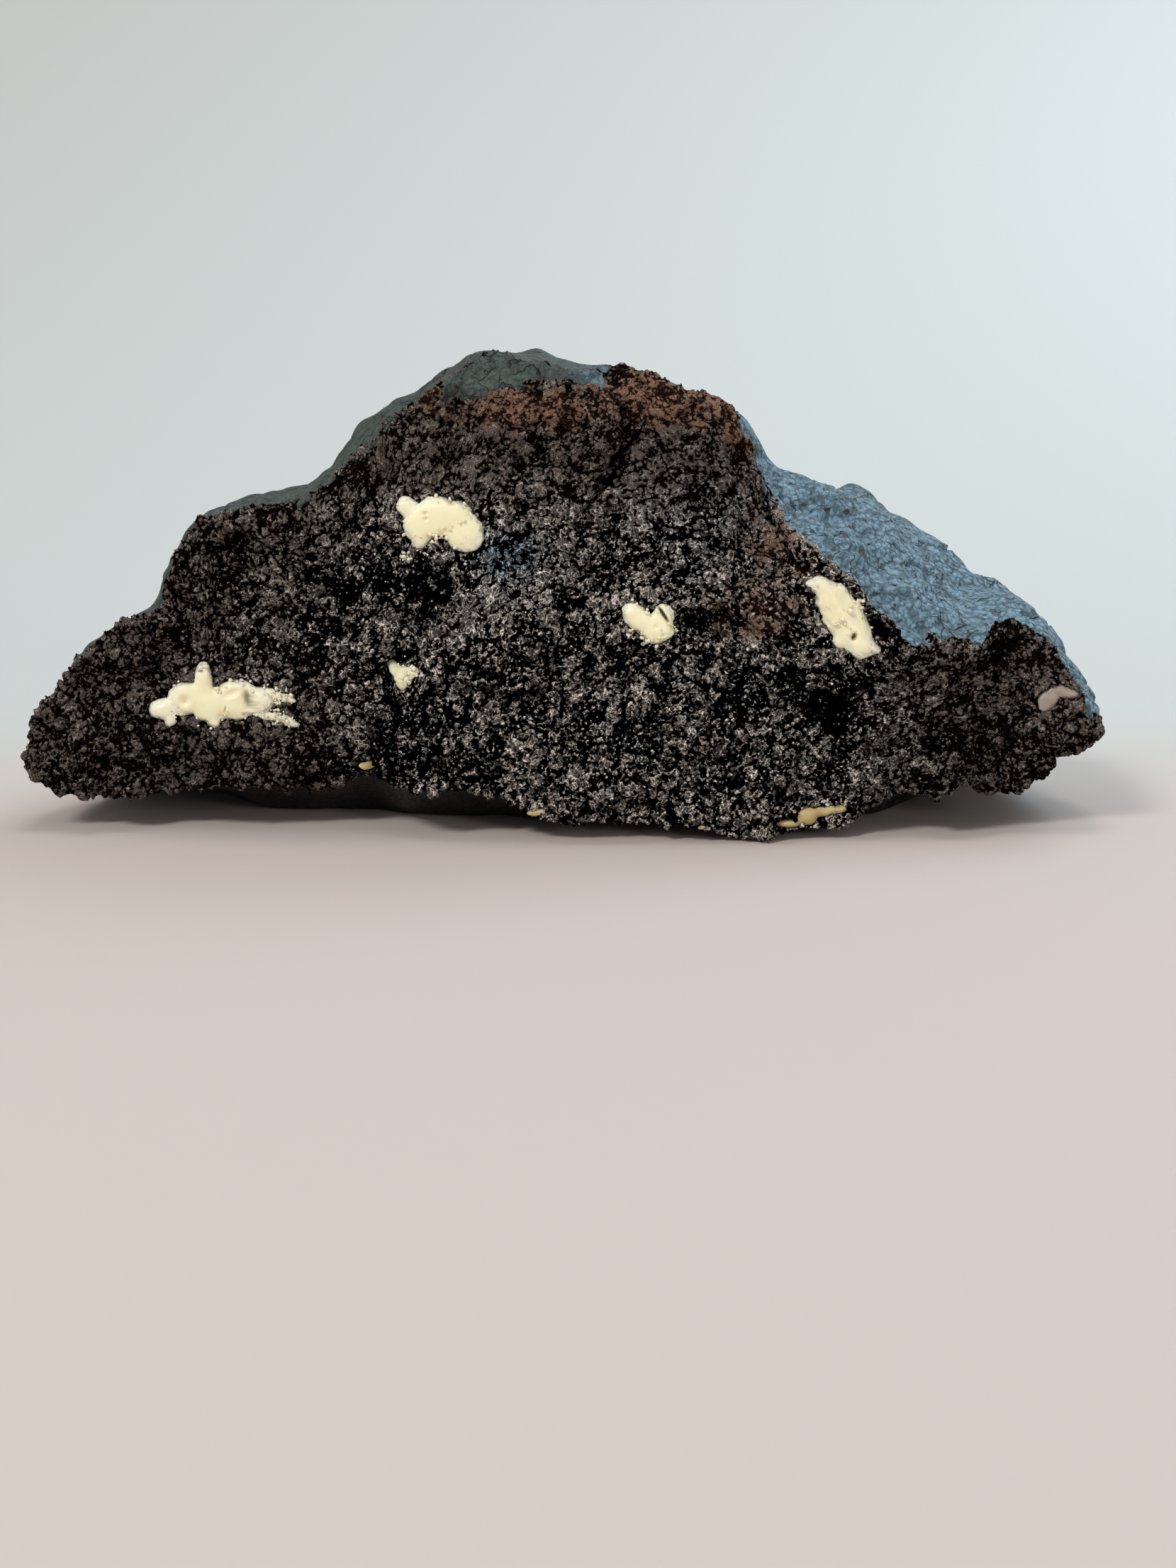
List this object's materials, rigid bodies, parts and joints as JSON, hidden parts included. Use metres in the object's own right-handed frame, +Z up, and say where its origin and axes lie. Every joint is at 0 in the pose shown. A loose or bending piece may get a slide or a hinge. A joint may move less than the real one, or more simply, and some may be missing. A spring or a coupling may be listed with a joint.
{
  "type": "cookies and cream cookie half",
  "caption": "Torn half of a thick dark bakery cookie: craggy baked skin over a mounded crown, coarse crumb on the torn face and pale chocolate chunks set in it.",
  "frame": {"origin": "on the flat baked underside, midway along the tear and 21 mm behind the mean plane of the torn face", "axes": "+X to the right along the torn face, +Y from the torn face to the back rim, +Z up from the underside to the crown"},
  "size_m": [0.1084, 0.0644, 0.0473],
  "materials": {
    "dough": "baked black-cocoa dough: matt skin, moist crumb",
    "white_chocolate": "soft melted white chocolate, waxy",
    "dull_chocolate": "white chocolate smeared with crumb",
    "golden_chocolate": "white chocolate browned on the baking sheet"
  },
  "bodies": {
    "root": {"cookie_dough": "dough", "white_chunk_upper": "white_chocolate", "white_chunk_middle": "white_chocolate", "white_chunk_right": "white_chocolate", "white_chunk_left": "white_chocolate", "white_chip_small": "white_chocolate", "dull_chip_right_end": "dull_chocolate", "golden_drip": "golden_chocolate"}
  },
  "joints": []
}
